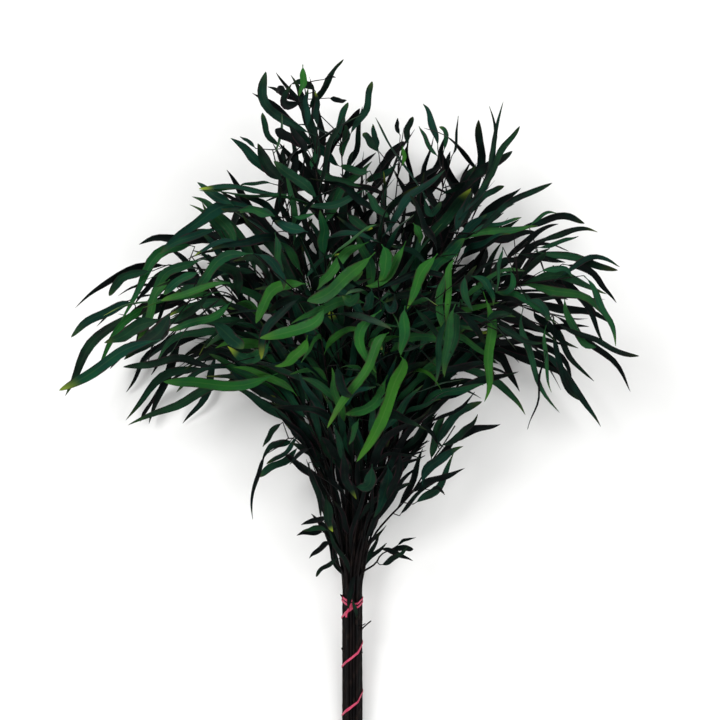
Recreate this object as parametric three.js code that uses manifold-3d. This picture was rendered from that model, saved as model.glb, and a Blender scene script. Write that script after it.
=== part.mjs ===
// A bunch of preserved willow-leaf eucalyptus, lying on its side on a flat surface.
//
// Thirty-seven cut branches are packed side by side into a bare handle, which a string winds round
// from the neck down. Past the neck they fan out into a wide crown: two wings that arch over and
// droop, an upright middle, and a few short sprigs low down. Each branch grew as one piece, so its
// stem and its leaves are one solid and one node.
//
// Frame, in millimetres: +Y runs from the cut ends to the crown, +X to the right wing, +Z up from
// the surface. The origin is under the middle of the bunch, on the surface.
import * as THREE from "three";
import { mergeVertices } from "three/addons/utils/BufferGeometryUtils.js";
import Module from "manifold-3d";

const wasm = await Module();
wasm.setup();

// ---- Driving dimensions ----------------------------------------------------------------------

const crownWidth = 750; // across both wings, with their leaves
const crownLength = 696; // neck to the highest leaf tip
const crownHeight = 240; // surface to the highest stem, with the bunch lying down
const handleLength = 225; // cut ends to neck
const handleTilt = 9; // degrees that the handle rises towards the crown

const stemRadius = 1.8; // at the cut end
const stemTipRadius = 0.8;
const stemSides = 5;
const stemGap = 0.4; // between neighbours in the handle
const fanGap = 1.2; // between stems past the neck
const fanStations = 10; // points that shape a stem between the neck and its tip
const stemWander = 5; // how far a stem strays from a smooth arch
const cutStagger = 9; // how unevenly the cut ends line up

const leafLength = 130;
const leafWidth = 12.5;
const leafThickness = 1;
const leafSpacing = 38; // along a stem
const petioleWidth = 1.8;
const leafGap = 0.5; // kept clear round each leaf

const stringWidth = 3.2;
const stringThickness = 0.9;
const stringGap = 0.4; // between the string and the stems
const stringBelowNeck = 12; // first turn of the string to where the stems part
const neckTurns = 2;
const neckPitch = 5;
const neckDip = 7; // how far the turns at the neck sink towards the knot in front
const spiralTurns = 2.6; // down the handle
const spiralPitch = 69;
const knotRadius = 3.2;

// ---- The branches ----------------------------------------------------------------------------
// Where each stem tip lies: x as a share of half the crown's width, y as a share of its length from
// the neck, z as a share of its height. droop is how far a stem arches past its tip before it comes
// down to it, as a share of the crown's length. bare is the leafless share of its length.

const branches = [
  { name: "left_wing_1", x: -0.76, y: 0.53, z: 0.45, droop: 0.19, bare: 0.42 },
  { name: "left_wing_2", x: -0.7, y: 0.46, z: 0.2, droop: 0.2, bare: 0.44 },
  { name: "left_wing_3", x: -0.63, y: 0.61, z: 0.62, droop: 0.14, bare: 0.42 },
  { name: "left_wing_4", x: -0.5, y: 0.69, z: 0.4, droop: 0.08, bare: 0.46 },
  { name: "left_wing_5", x: -0.54, y: 0.54, z: 0.9, droop: 0.17, bare: 0.4 },
  { name: "left_wing_6", x: -0.56, y: 0.41, z: 0.12, droop: 0.2, bare: 0.42 },
  { name: "left_wing_7", x: -0.4, y: 0.63, z: 0.78, droop: 0.1, bare: 0.44 },
  { name: "right_wing_1", x: 0.7, y: 0.52, z: 0.45, droop: 0.16, bare: 0.42 },
  { name: "right_wing_2", x: 0.66, y: 0.59, z: 0.7, droop: 0.1, bare: 0.42 },
  { name: "right_wing_3", x: 0.62, y: 0.66, z: 0.35, droop: 0.06, bare: 0.46 },
  { name: "right_wing_4", x: 0.64, y: 0.46, z: 0.22, droop: 0.18, bare: 0.42 },
  { name: "right_wing_5", x: 0.5, y: 0.43, z: 0.1, droop: 0.2, bare: 0.44 },
  { name: "right_wing_6", x: 0.43, y: 0.5, z: 0.92, droop: 0.16, bare: 0.4 },
  { name: "right_wing_7", x: 0.56, y: 0.57, z: 0.85, droop: 0.12, bare: 0.42 },
  { name: "right_wing_8", x: 0.4, y: 0.64, z: 0.6, droop: 0.05, bare: 0.46 },
  { name: "crown_left_1", x: -0.17, y: 0.965, z: 0.45, droop: 0, bare: 0.36 },
  { name: "crown_left_2", x: -0.27, y: 0.82, z: 0.7, droop: 0.02, bare: 0.36 },
  { name: "crown_left_3", x: -0.04, y: 0.85, z: 0.62, droop: 0, bare: 0.36 },
  { name: "crown_left_4", x: -0.32, y: 0.72, z: 0.25, droop: 0.04, bare: 0.4 },
  { name: "crown_left_5", x: -0.12, y: 0.78, z: 0.9, droop: 0.02, bare: 0.34 },
  { name: "crown_left_6", x: -0.23, y: 0.69, z: 0.88, droop: 0.05, bare: 0.34 },
  { name: "crown_middle_1", x: 0.05, y: 0.8, z: 0.3, droop: 0, bare: 0.4 },
  { name: "crown_middle_2", x: 0.16, y: 0.78, z: 0.5, droop: 0, bare: 0.36 },
  { name: "crown_middle_3", x: 0.27, y: 0.79, z: 0.25, droop: 0, bare: 0.4 },
  { name: "crown_middle_4", x: 0.31, y: 0.75, z: 0.7, droop: 0.01, bare: 0.36 },
  { name: "crown_middle_5", x: 0.11, y: 0.71, z: 0.9, droop: 0.03, bare: 0.34 },
  { name: "crown_middle_6", x: 0, y: 0.69, z: 0.12, droop: 0.02, bare: 0.4 },
  { name: "crown_right_1", x: 0.48, y: 0.78, z: 0.45, droop: -0.03, bare: 0.45 },
  { name: "crown_right_2", x: 0.4, y: 0.71, z: 0.2, droop: 0, bare: 0.4 },
  { name: "crown_right_3", x: 0.33, y: 0.67, z: 0.84, droop: 0.03, bare: 0.36 },
  { name: "front_drape_1", x: 0.09, y: 0.56, z: 1, droop: 0.15, bare: 0.3 },
  { name: "front_drape_2", x: -0.17, y: 0.55, z: 0.98, droop: 0.15, bare: 0.3 },
  { name: "front_drape_3", x: 0.25, y: 0.53, z: 0.97, droop: 0.15, bare: 0.3 },
  { name: "low_sprig_left", x: -0.26, y: 0.27, z: 0.5, droop: 0.1, bare: 0.45 },
  { name: "low_sprig_right", x: 0.36, y: 0.31, z: 0.45, droop: -0.03, bare: 0.36 },
  { name: "neck_sprig_left", x: -0.12, y: 0.12, z: 0.3, droop: 0, bare: 0.3 },
  { name: "neck_sprig_right", x: 0.16, y: 0.08, z: 0.34, droop: 0, bare: 0.3 },
];

// ---- Small helpers ---------------------------------------------------------------------------

const vec = (x, y, z) => new THREE.Vector3(x, y, z);
const up = vec(0, 0, 1);
const radians = THREE.MathUtils.degToRad;
const lerp = THREE.MathUtils.lerp;

// A seeded stream of numbers from 0 to 1, so that every build grows the same bunch.
function randomStream(seed) {
  let state = seed;
  return () => {
    state = (state * 1664525 + 1013904223) >>> 0;
    return state / 4294967296;
  };
}

// Six times the volume of the corner block between three edges from a point.
function blockVolume(origin, p, q, r) {
  const edge = (end) => end.clone().sub(origin);
  return edge(p).cross(edge(q)).dot(edge(r));
}

// A closed geometry through rings of equal count, which run clockwise seen from the ring before.
// An end is a point, or a cap over its last ring. Each wall between four corners is folded along
// the diagonal that bulges outwards, so that the walls of a thin twisted blade don't cross.
function loft(rings, startPoint, endPoint) {
  const sides = rings[0].length;
  const points = rings.flat();
  const triangles = [];
  for (let r = 0; r + 1 < rings.length; r++)
    for (let s = 0; s < sides; s++) {
      const a = r * sides + s;
      const b = r * sides + ((s + 1) % sides);
      const c = a + sides;
      const d = b + sides;
      const bulges = blockVolume(points[a], points[b], points[c], points[d]) > 0;
      triangles.push(...(bulges ? [a, b, c, b, d, c] : [a, b, d, a, d, c]));
    }
  const close = (first, apex, turned) => {
    points.push(apex);
    for (let s = 0; s < sides; s++) {
      const a = first + s;
      const b = first + ((s + 1) % sides);
      triangles.push(...(turned ? [b, a] : [a, b]), points.length - 1);
    }
  };
  const centre = (ring) =>
    ring.reduce((sum, p) => sum.add(p), vec(0, 0, 0)).divideScalar(sides);
  close(0, startPoint ?? centre(rings[0]), true);
  close((rings.length - 1) * sides, endPoint ?? centre(rings.at(-1)), false);
  const geometry = new THREE.BufferGeometry().setFromPoints(points);
  return geometry.setIndex(triangles);
}

// A solid from a closed geometry, whichever way its faces turn.
function solid(geometry) {
  const merged = mergeVertices(geometry, 1e-3);
  const make = () =>
    new wasm.Manifold(
      new wasm.Mesh({
        numProp: 3,
        vertProperties: merged.attributes.position.array,
        triVerts: new Uint32Array(merged.index.array),
      }),
    );
  const made = make();
  if (made.volume() >= 0) return made;
  merged.index.array.reverse();
  return make();
}

function meshOf(manifold, name, material) {
  const { vertProperties, triVerts } = manifold.getMesh();
  const geometry = new THREE.BufferGeometry();
  geometry.setAttribute("position", new THREE.BufferAttribute(vertProperties, 3));
  geometry.setIndex(new THREE.BufferAttribute(triVerts, 1));
  geometry.computeVertexNormals();
  const mesh = new THREE.Mesh(geometry, material);
  mesh.name = name;
  return mesh;
}

// ---- The handle: stems packed in a hexagon ---------------------------------------------------

const packing = 2 * stemRadius + stemGap;
const hexRings = 3;
const rowHeight = packing * Math.sin(Math.PI / 3);
const handleRadius = hexRings * packing + stemRadius;

// Places in the handle's cross-section, ring by ring, each ring in order of angle.
function hexSlots() {
  const slots = [{ ring: 0, x: 0, z: 0, angle: 0 }];
  for (let ring = 1; ring <= hexRings; ring++)
    for (let corner = 0; corner < 6; corner++)
      for (let step = 0; step < ring; step++) {
        const from = (corner * Math.PI) / 3;
        const to = from + Math.PI / 3;
        const share = step / ring;
        const x = ring * packing * lerp(Math.cos(from), Math.cos(to), share);
        const z = ring * packing * lerp(Math.sin(from), Math.sin(to), share);
        slots.push({ ring, x, z, angle: Math.atan2(z, x) });
      }
  return slots;
}

const along = vec(0, Math.cos(radians(handleTilt)), Math.sin(radians(handleTilt)));
const across = vec(1, 0, 0);
const over = new THREE.Vector3().crossVectors(across, along);
// The lowest row of stems meets the surface at the longest cut end.
const cutCentre = vec(
  0,
  0,
  (hexRings * rowHeight + stemRadius) * over.z + cutStagger * along.z,
);
const neckCentre = cutCentre.clone().addScaledVector(along, handleLength);

function inHandle(slot, distance) {
  return cutCentre
    .clone()
    .addScaledVector(along, distance)
    .addScaledVector(across, slot.x)
    .addScaledVector(over, slot.z);
}

function tipOf(branch) {
  return vec(
    (branch.x * crownWidth) / 2,
    neckCentre.y + branch.y * crownLength,
    branch.z * crownHeight,
  );
}

// A branch that leaves the handle steeply is packed further out, on the side that it leaves to.
function packBranches() {
  const slots = hexSlots();
  const leaving = branches.map((branch) => {
    const offset = tipOf(branch).sub(neckCentre);
    const aside = offset.x;
    const above = offset.dot(over);
    const slope = Math.hypot(aside, above) / offset.dot(along);
    return { branch, slope, angle: Math.atan2(above, aside) };
  });
  leaving.sort((a, b) => b.slope - a.slope);
  let taken = 0;
  for (let ring = hexRings; ring >= 0; ring--) {
    const places = slots
      .filter((s) => s.ring === ring)
      .sort((a, b) => a.angle - b.angle);
    const group = leaving
      .slice(taken, taken + places.length)
      .sort((a, b) => a.angle - b.angle);
    taken += places.length;
    const mismatch = (shift) =>
      group.reduce((sum, item, i) => {
        const place = places[(i + shift) % places.length];
        return sum + 1 - Math.cos(place.angle - item.angle);
      }, 0);
    const shifts = places.map((_, shift) => shift);
    const best = shifts.reduce((a, b) => (mismatch(b) < mismatch(a) ? b : a));
    group.forEach((item, i) => {
      item.branch.slot = places[(i + best) % places.length];
    });
  }
}

// ---- Stem paths ------------------------------------------------------------------------------

const straightShare = 0.36; // of its reach, that a stem holds the handle's direction past the neck
const earlyLean = 0.06; // of its sideways reach, taken by then
const earlyRise = 0.12; // of its upward reach, taken by then
const archShare = 0.72; // of its reach, where it bends over to its tip
const lateFlare = 0.1; // of its sideways reach, held back until the bend
const archLift = 1.6; // a curve passes below its control point, so this goes higher than the arch
const wanderWaves = 1.5; // sideways waves between the neck and the tip

const spreadRounds = 80;
const pushShare = 0.55; // of a missing gap, that each of two stems makes up in one round
const atNeck = 0.02; // the share of the first segment that stays as the handle packs it

const radiusAt = (share) => lerp(stemRadius, stemTipRadius, share);

function stemPath(branch, random) {
  const cut = inHandle(branch.slot, cutStagger * (2 * random() - 1));
  const neck = inHandle(branch.slot, handleLength);
  const tip = tipOf(branch);
  const reach = tip.clone().sub(neck);
  const leave = neck.clone().addScaledVector(along, straightShare * reach.length());
  leave.x += earlyLean * reach.x;
  leave.z += earlyRise * reach.z;
  const arch = neck.clone().addScaledVector(reach, archShare);
  arch.x -= lateFlare * reach.x;
  arch.y += archLift * branch.droop * crownLength;
  const curve = new THREE.CubicBezierCurve3(neck, leave, arch, tip);
  const fan = curve.getSpacedPoints(fanStations);
  const [phaseX, phaseZ] = [random(), random()];
  fan.forEach((point, i) => {
    const share = i / fanStations;
    const stray = stemWander * Math.sin(Math.PI * share);
    point.x += stray * Math.sin(2 * Math.PI * (wanderWaves * share + phaseX));
    point.z += stray * Math.sin(2 * Math.PI * (wanderWaves * share + phaseZ));
  });
  return [cut, ...fan];
}

// The nearest points of two segments, as shares along each.
function nearest(a, b, c, d) {
  const u = b.clone().sub(a);
  const v = d.clone().sub(c);
  const w = a.clone().sub(c);
  const uu = u.dot(u);
  const uv = u.dot(v);
  const vv = v.dot(v);
  const uw = u.dot(w);
  const vw = v.dot(w);
  const spread = uu * vv - uv * uv;
  const clamp = (x) => THREE.MathUtils.clamp(x, 0, 1);
  let s = spread > 1e-9 ? clamp((uv * vw - vv * uw) / spread) : 0;
  const t = clamp((uv * s + vw) / vv);
  s = clamp((uv * t - uw) / uu);
  return { s, t };
}

// Pushes two segments apart where they come too near, and says whether they did. Segment 0 lies in
// the handle and point 1 is at the neck, so only the points after it move.
function partSegments(p, i, q, j) {
  const { s, t } = nearest(p[i], p[i + 1], q[j], q[j + 1]);
  const past = Math.max(i + s, j + t) - 1;
  if (Math.min(i + s, j + t) < 1 + atNeck) return false;
  const onP = p[i].clone().lerp(p[i + 1], s);
  const onQ = q[j].clone().lerp(q[j + 1], t);
  const gap = onP.sub(onQ);
  const radii = radiusAt(i / (p.length - 1)) + radiusAt(j / (q.length - 1));
  const need = radii + lerp(stemGap, fanGap, Math.min(1, past / 2));
  const distance = gap.length();
  if (distance >= need) return false;
  if (distance < 1e-3) gap.copy(up);
  gap.setLength((need - distance) * pushShare);
  const push = (path, at, share, shift) => {
    if (at > 1) path[at].addScaledVector(shift, 1 - share);
    path[at + 1].addScaledVector(shift, share);
  };
  push(p, i, s, gap);
  push(q, j, t, gap.negate());
  return true;
}

// Stems that would touch past the neck push each other aside, and none sinks into the surface.
function spreadStems(paths) {
  for (let round = 0; round < spreadRounds; round++) {
    let moved = false;
    paths.forEach((p, a) => {
      paths.slice(a + 1).forEach((q) => {
        for (let i = 1; i + 1 < p.length; i++)
          for (let j = 1; j + 1 < q.length; j++) {
            const reach = p[i].distanceTo(p[i + 1]) + q[j].distanceTo(q[j + 1]) + 2 * packing;
            if (p[i].distanceTo(q[j]) < reach && partSegments(p, i, q, j)) moved = true;
          }
      });
      for (const point of p.slice(2)) point.z = Math.max(point.z, 2 * stemRadius);
    });
    if (!moved) return;
  }
}

// A tube along the path, of the stem's falling radius. Its rings are carried along without twist.
function stemSolid(path) {
  const last = path.length - 1;
  const side = across.clone();
  const rings = path.map((point, i) => {
    const before = path[Math.max(i - 1, 0)];
    const tangent = path[Math.min(i + 1, last)].clone().sub(before).normalize();
    side.addScaledVector(tangent, -side.dot(tangent)).normalize();
    const lift = new THREE.Vector3().crossVectors(side, tangent);
    return Array.from({ length: stemSides }, (_, k) => {
      const angle = (2 * Math.PI * k) / stemSides;
      const corner = point.clone();
      corner.addScaledVector(side, radiusAt(i / last) * Math.cos(angle));
      return corner.addScaledVector(lift, radiusAt(i / last) * Math.sin(angle));
    });
  });
  return solid(loft(rings, null, null));
}

// ---- Leaves ----------------------------------------------------------------------------------
// A leaf is a thin blade with a keel under its middle: narrow at the petiole, widest before the
// middle, and pointed. Its midline starts inside the stem and bends one way, like a sickle.

const leafStations = [
  { at: 0.09, width: 0, keel: 1 },
  { at: 0.33, width: 1, keel: 1 },
  { at: 0.6, width: 0.92, keel: 1 },
  { at: 0.83, width: 0.45, keel: 0.8 },
];

// What varies from leaf to leaf, each drawn between its two values.
const leafRanges = {
  length: [0.6, 1], // of leafLength
  width: [0.75, 1.1], // of leafWidth
  lean: [30, 55], // degrees from the stem, near its tip
  roll: [-45, 45], // degrees from lying flat
  twist: [-50, 50], // degrees along the blade
  sickle: [-0.45, 0.45], // sideways bend
  sag: [0.5, 1.3], // of the branch's sag
  outward: [0.2, 1.1], // how far a leaf hangs sideways on a wing, as a share of how far it hangs down
  turn: [0, 40], // degrees added to the regular turn round the stem
};
const leafTurn = 137.5; // degrees from one leaf to the next round the stem
const lowLean = 8; // degrees from the stem, at its foot
const hangFrom = 0.35; // share of a stem below which its leaves stay along it
const hangFull = 0.7; // share of a stem past which its leaves hang freely
const tipLean = 6; // degrees, of the last leaf
const firmSag = 12; // degrees that a leaf hangs, on a branch that doesn't droop
const droopSag = 380; // degrees more, for each unit of droop
const mostSag = 100; // degrees
const hangDepth = 0.25; // how far a leaf hangs towards the surface, as a share of how far it hangs down
const wingLeafGrowth = 1.3; // leaves at the end of a wing are this much longer
const lastLeafAt = 0.99; // just inside the end of the stem
const smallestLeaf = 0.4; // the leaves of the shortest branch, as a share of full size
const leafFlatness = 0.6; // leaves spread less up and down than sideways
const guardWiden = 1.6; // a blade's thin edges need more growth sideways

// A direction turned towards a goal by an angle, and no further than the goal.
function turnTowards(direction, goal, angle) {
  const axis = new THREE.Vector3().crossVectors(direction, goal).normalize();
  return direction.clone().applyAxisAngle(axis, Math.min(angle, direction.angleTo(goal)));
}

// growth: extra size all round, for the space that a leaf keeps clear. from: the share of its
// length where it starts.
function leafGeometry(leaf, growth, from) {
  const side = new THREE.Vector3().crossVectors(leaf.direction, leaf.facing).normalize();
  const bend = turnTowards(leaf.direction, leaf.hang, leaf.sag)
    .addScaledVector(side, leaf.sickle)
    .normalize();
  const middle = leaf.base.clone().addScaledVector(leaf.direction, leaf.length / 2);
  const end = middle.clone().addScaledVector(bend, leaf.length / 2 + growth);
  const midline = new THREE.QuadraticBezierCurve3(leaf.base, middle, end);
  const rings = leafStations.map((station) => {
    const centre = midline.getPoint(station.at);
    const tangent = midline.getTangent(station.at);
    side.addScaledVector(tangent, -side.dot(tangent)).normalize();
    const turned = side.clone().applyAxisAngle(tangent, leaf.roll + leaf.twist * station.at);
    const normal = new THREE.Vector3().crossVectors(turned, tangent);
    const half = lerp(petioleWidth, leaf.width, station.width) / 2;
    const keel = leafThickness * station.keel;
    const lowest = centre.z - Math.max(Math.abs(turned.z) * half, normal.z * keel);
    centre.z -= Math.min(0, lowest);
    const wide = half + guardWiden * growth;
    return [
      centre.clone().addScaledVector(turned, wide).addScaledVector(normal, growth),
      centre.clone().addScaledVector(turned, -wide).addScaledVector(normal, growth),
      centre.clone().addScaledVector(normal, -keel - growth),
    ];
  });
  end.z = Math.max(end.z, leafThickness / 2);
  return loft(rings, midline.getPoint(from), end);
}

function boxOf(geometry) {
  geometry.computeBoundingBox();
  return geometry.boundingBox;
}

// True if a guard meets anything already grown.
function meets(guard, box, things) {
  return things.some((thing) => {
    if (!thing.box.intersectsBox(box)) return false;
    const common = guard.intersect(thing.solid);
    const found = !common.isEmpty();
    common.delete();
    return found;
  });
}

// Turns round the stem, in degrees, that a leaf tries in order, and how far it then leans out.
const turnsToTry = [0, 24, -24, 48, -48, 75, -75, 105, -105, 140, -140, 180];
const leansToTry = [1, 0.7, 1.35];

function growLeaf(wish, own, grown) {
  for (const lean of leansToTry)
    for (const turn of turnsToTry) {
      const aside = wish.aside.clone().applyAxisAngle(wish.tangent, radians(turn));
      aside.z *= leafFlatness;
      const direction = wish.tangent
        .clone()
        .multiplyScalar(Math.cos(wish.lean * lean))
        .addScaledVector(aside, Math.sin(wish.lean * lean))
        .normalize();
      const leaf = { ...wish, direction };
      const whole = leafGeometry(leaf, leafGap, 0);
      const blade = leafGeometry(leaf, leafGap, wish.clearFrom);
      const wholeGuard = solid(whole);
      const bladeGuard = solid(blade);
      const box = boxOf(whole);
      const blocked = meets(wholeGuard, box, grown) || meets(bladeGuard, box, own);
      wholeGuard.delete();
      bladeGuard.delete();
      if (!blocked) {
        const geometry = leafGeometry(leaf, 0, 0);
        return { solid: solid(geometry), box: boxOf(geometry) };
      }
    }
  return null; // a crowded stem drops this leaf
}

function leafWishes(branch, path, random) {
  const draw = ([low, high]) => lerp(low, high, random());
  const curve = new THREE.CurvePath();
  for (let i = 1; i + 1 < path.length; i++)
    curve.add(new THREE.LineCurve3(path[i], path[i + 1]));
  const scale = Math.max(smallestLeaf, Math.min(1, (2 * curve.getLength()) / crownLength));
  const leafy = curve.getLength() * (1 - branch.bare);
  const count = Math.max(3, Math.round(leafy / (leafSpacing * scale)));
  const outward = THREE.MathUtils.clamp(1.4 * branch.x, -1, 1);
  const sag = firmSag + droopSag * Math.max(branch.droop, 0);
  const wishes = [];
  for (let k = 0; k <= count; k++) {
    const last = k === count;
    const at = lerp(branch.bare, lastLeafAt, k / count);
    const tangent = curve.getTangentAt(at);
    const aside = new THREE.Vector3().crossVectors(tangent, up).normalize();
    aside.applyAxisAngle(tangent, radians(leafTurn * k + draw(leafRanges.turn)));
    const growth = lerp(0.9, wingLeafGrowth, at * Math.abs(outward));
    const freedom = THREE.MathUtils.smoothstep(at, hangFrom, hangFull);
    wishes.push({
      base: curve.getPointAt(at),
      tangent,
      aside,
      facing: up,
      hang: vec(outward * draw(leafRanges.outward), -1, -hangDepth).normalize(),
      lean: radians(last ? tipLean : lerp(lowLean, draw(leafRanges.lean), at * at)),
      sag: radians(freedom * Math.min(mostSag, sag * draw(leafRanges.sag))),
      sickle: draw(leafRanges.sickle),
      length: leafLength * scale * draw(leafRanges.length) * growth,
      width: leafWidth * Math.sqrt(scale) * draw(leafRanges.width),
      roll: radians(draw(leafRanges.roll)),
      twist: radians(draw(leafRanges.twist)),
      clearFrom: last ? 0.03 : 0.07,
    });
  }
  return wishes;
}

// ---- The string ------------------------------------------------------------------------------

const stepsPerTurn = 14;
const knotBreadth = 1.2; // across the handle, of its radius
const knotFlatness = 0.7; // its height over the stems, of its radius

// A flat string: turns round the neck that dip to a knot in front, then a long spiral down the
// stems.
function stringSolid() {
  const inner = (handleRadius + stringGap) / Math.cos(Math.PI / stepsPerTurn);
  const radius = inner + stringThickness / 2;
  const start = handleLength - stringBelowNeck;
  const steps = Math.round((neckTurns + spiralTurns) * stepsPerTurn);
  const outwardAt = (angle) =>
    across.clone().multiplyScalar(Math.cos(angle)).addScaledVector(over, Math.sin(angle));
  const rings = [];
  for (let i = 0; i <= steps; i++) {
    const turn = i / stepsPerTurn;
    const spiral = Math.max(0, turn - neckTurns);
    const angle = 2 * Math.PI * turn + Math.PI / 2;
    const dip = spiral > 0 ? neckDip : (neckDip * (1 + Math.sin(angle))) / 2;
    const drop = Math.min(turn, neckTurns) * neckPitch + spiral * spiralPitch + dip;
    const outward = outwardAt(angle);
    const centre = inHandle({ x: 0, z: 0 }, start - drop).addScaledVector(outward, radius);
    const corner = (a, b) =>
      centre
        .clone()
        .addScaledVector(along, (a * stringWidth) / 2)
        .addScaledVector(outward, (b * stringThickness) / 2);
    rings.push([corner(1, 1), corner(-1, 1), corner(-1, -1), corner(1, -1)]);
  }
  const knot = new THREE.SphereGeometry(knotRadius, 8, 6);
  knot.deleteAttribute("normal");
  knot.deleteAttribute("uv");
  knot.scale(knotBreadth, 1, knotFlatness);
  const knotRise = radius + knotFlatness * knotRadius - stringThickness;
  const front = inHandle({ x: 0, z: 0 }, start - neckDip - neckPitch);
  front.addScaledVector(over, knotRise);
  knot.translate(front.x, front.y, front.z);
  return solid(loft(rings, null, null)).add(solid(knot));
}

// ---- Assembly --------------------------------------------------------------------------------

const leafGreen = new THREE.MeshStandardMaterial({
  color: 0x1d4a2c,
  roughness: 0.55,
  metalness: 0,
});
const stringPink = new THREE.MeshStandardMaterial({
  color: 0xd8345f,
  roughness: 0.45,
  metalness: 0,
});

const seed = 20260;

packBranches();
const random = randomStream(seed);
const paths = branches.map((branch) => stemPath(branch, random));
spreadStems(paths);

const string = stringSolid();
const stems = paths.map((path) => {
  const made = stemSolid(path);
  const { min, max } = made.boundingBox();
  return { solid: made, box: new THREE.Box3(vec(...min), vec(...max)) };
});
const stringBounds = string.boundingBox();
const tied = {
  solid: string,
  box: new THREE.Box3(vec(...stringBounds.min), vec(...stringBounds.max)),
};

// The outermost leaf of every branch grows first, so that each branch keeps its tip.
const leavesOf = branches.map(() => []);
const wishesOf = branches.map((branch, b) => leafWishes(branch, paths[b], random));
const mostLeaves = Math.max(...wishesOf.map((w) => w.length));
for (let k = 1; k <= mostLeaves; k++)
  branches.forEach((branch, b) => {
    const wish = wishesOf[b].at(-k);
    if (!wish || k > wishesOf[b].length) return;
    const others = [tied];
    stems.forEach((stem, i) => i !== b && others.push(stem));
    leavesOf.forEach((leaves, i) => i !== b && others.push(...leaves));
    const leaf = growLeaf(wish, [stems[b], ...leavesOf[b]], others);
    if (leaf) leavesOf[b].push(leaf);
  });

const bunch = new THREE.Group();
branches.forEach((branch, b) => {
  const whole = leavesOf[b].reduce((sum, leaf) => sum.add(leaf.solid), stems[b].solid);
  bunch.add(meshOf(whole, `branch_${branch.name}`, leafGreen));
});
bunch.add(meshOf(string, "tie_string", stringPink));

// The origin is under the middle of the bunch.
const bounds = new THREE.Box3().setFromObject(bunch);
const centre = bounds.getCenter(vec(0, 0, 0));
bunch.position.set(-centre.x, -centre.y, -bounds.min.z);

const root = new THREE.Group();
root.add(bunch);
export default root;
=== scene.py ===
import math
from itertools import combinations

import bpy
import numpy as np
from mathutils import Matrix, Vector
from mathutils.bvhtree import BVHTree


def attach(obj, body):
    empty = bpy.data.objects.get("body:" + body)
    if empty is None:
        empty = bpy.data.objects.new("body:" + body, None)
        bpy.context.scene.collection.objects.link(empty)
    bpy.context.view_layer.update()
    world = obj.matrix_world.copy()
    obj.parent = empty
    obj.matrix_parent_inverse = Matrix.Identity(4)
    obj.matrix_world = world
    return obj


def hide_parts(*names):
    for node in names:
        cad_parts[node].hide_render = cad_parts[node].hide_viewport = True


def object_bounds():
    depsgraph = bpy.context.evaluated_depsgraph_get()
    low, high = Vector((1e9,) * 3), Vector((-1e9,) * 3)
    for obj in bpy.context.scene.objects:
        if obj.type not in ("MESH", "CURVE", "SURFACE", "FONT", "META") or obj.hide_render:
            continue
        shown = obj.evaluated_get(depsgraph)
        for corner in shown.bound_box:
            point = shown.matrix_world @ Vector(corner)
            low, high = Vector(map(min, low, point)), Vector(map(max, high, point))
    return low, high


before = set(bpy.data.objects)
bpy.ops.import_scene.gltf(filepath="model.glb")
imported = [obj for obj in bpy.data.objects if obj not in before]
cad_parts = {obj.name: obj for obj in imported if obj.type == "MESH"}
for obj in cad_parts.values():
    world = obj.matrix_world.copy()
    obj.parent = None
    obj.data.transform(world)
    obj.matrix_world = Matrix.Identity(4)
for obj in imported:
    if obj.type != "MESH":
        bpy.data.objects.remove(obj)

cad_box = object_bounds()
SEED = 41
rng = np.random.default_rng(SEED)
MM = 0.001
UP = np.array([0.0, 0.0, 1.0])


# ---- Small helpers ----

def unit(v):
    return v / np.maximum(np.linalg.norm(v, axis=-1, keepdims=True), 1e-12)


def turn(points, axis, angle):
    """Points or directions (n, 3) turned about an axis through the origin."""
    axis = unit(np.asarray(axis, float))
    along = (points @ axis)[..., None] * axis
    across = np.cross(axis, points)
    return points * math.cos(angle) + across * math.sin(angle) + along * (1 - math.cos(angle))


def spline(knots, values, at):
    """A smooth curve through values (n, k) at rising knots, read at the places at."""
    slopes = np.gradient(values, knots, axis=0)
    i = np.clip(np.searchsorted(knots, at, side="right") - 1, 0, len(knots) - 2)
    step = (knots[i + 1] - knots[i])[:, None]
    s = (at - knots[i])[:, None] / step
    ends = (1 + 2 * s) * (1 - s) ** 2 * values[i] + s * s * (3 - 2 * s) * values[i + 1]
    bends = s * (1 - s) ** 2 * slopes[i] + s * s * (s - 1) * slopes[i + 1]
    return ends + bends * step


def travelled(points):
    """The distance along a line of points, from its first."""
    return np.concatenate([[0], np.cumsum(np.linalg.norm(np.diff(points, axis=0), axis=1))])


def arc(start, bend, end, at):
    """A curve from start to end at the places at (n, 1), and which way it runs there."""
    points = (1 - at) ** 2 * start + 2 * at * (1 - at) * bend + at**2 * end
    return points, unit((1 - at) * (bend - start) + at * (end - bend))


def skin_faces(rings, first=0):
    """The numbers of the points of rings (n, m, 3), those beside them, and the faces between."""
    n, m, _ = rings.shape
    at = first + np.arange(n * m).reshape(n, m)
    beside = np.roll(at, -1, axis=1)
    return at, beside, np.stack([at[:-1], beside[:-1], beside[1:], at[1:]], axis=-1).reshape(-1, 4)


def new_object(name, data):
    """An object of the scene."""
    made = bpy.data.objects.new(name, data)
    bpy.context.scene.collection.objects.link(made)
    return made


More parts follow.
